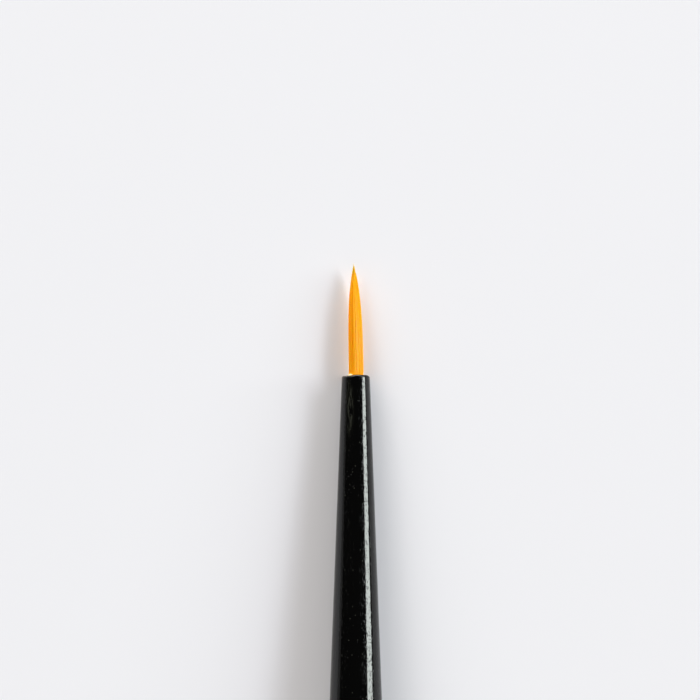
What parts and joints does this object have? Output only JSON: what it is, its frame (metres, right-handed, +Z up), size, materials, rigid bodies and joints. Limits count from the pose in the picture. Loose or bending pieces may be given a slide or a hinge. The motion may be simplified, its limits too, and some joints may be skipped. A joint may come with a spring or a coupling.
{
  "type": "fine detail brush",
  "caption": "Fine detail brush for painting models: a pointed filament tuft bound and set in resin in a tapered black ferrule, which is crimped and glued onto a turned handle.",
  "frame": {"origin": "middle of the brush's footprint, on the flat surface that it lies on", "axes": "+Y runs from the tail of the handle to the tip of the tuft, +Z is up, and +X is to the right when seen from above with the tip pointing away"},
  "size_m": [0.0078, 0.1678, 0.0084],
  "materials": {
    "golden_filament": "satin",
    "enamelled_tube": "gloss",
    "lacquered_wood": "gloss",
    "amber_resin": "gloss",
    "wood_glue": "satin",
    "waxed_thread": "matte"
  },
  "bodies": {
    "root": {"handle": "lacquered_wood", "handle_glue": "wood_glue", "ferrule": "enamelled_tube", "resin_plug": "amber_resin", "binding_thread": "waxed_thread", "tuft_core": "golden_filament", "outer_filament_01": "golden_filament", "outer_filament_02": "golden_filament", "outer_filament_03": "golden_filament", "outer_filament_04": "golden_filament", "outer_filament_05": "golden_filament", "outer_filament_06": "golden_filament", "outer_filament_07": "golden_filament", "outer_filament_08": "golden_filament", "outer_filament_09": "golden_filament", "outer_filament_10": "golden_filament", "outer_filament_11": "golden_filament", "outer_filament_12": "golden_filament", "outer_filament_13": "golden_filament", "outer_filament_14": "golden_filament", "outer_filament_15": "golden_filament", "outer_filament_16": "golden_filament", "outer_filament_17": "golden_filament", "outer_filament_18": "golden_filament", "outer_filament_19": "golden_filament", "outer_filament_20": "golden_filament", "outer_filament_21": "golden_filament", "outer_filament_22": "golden_filament", "outer_filament_23": "golden_filament", "outer_filament_24": "golden_filament", "outer_filament_25": "golden_filament", "outer_filament_26": "golden_filament", "outer_filament_27": "golden_filament", "outer_filament_28": "golden_filament", "inner_filament_01": "golden_filament", "inner_filament_02": "golden_filament", "inner_filament_03": "golden_filament", "inner_filament_04": "golden_filament", "inner_filament_05": "golden_filament", "inner_filament_06": "golden_filament", "inner_filament_07": "golden_filament", "inner_filament_08": "golden_filament", "inner_filament_09": "golden_filament", "inner_filament_10": "golden_filament", "inner_filament_11": "golden_filament", "inner_filament_12": "golden_filament", "inner_filament_13": "golden_filament", "inner_filament_14": "golden_filament", "inner_filament_15": "golden_filament", "inner_filament_16": "golden_filament", "inner_filament_17": "golden_filament", "inner_filament_18": "golden_filament", "inner_filament_19": "golden_filament", "inner_filament_20": "golden_filament", "inner_filament_21": "golden_filament"}
  },
  "joints": []
}
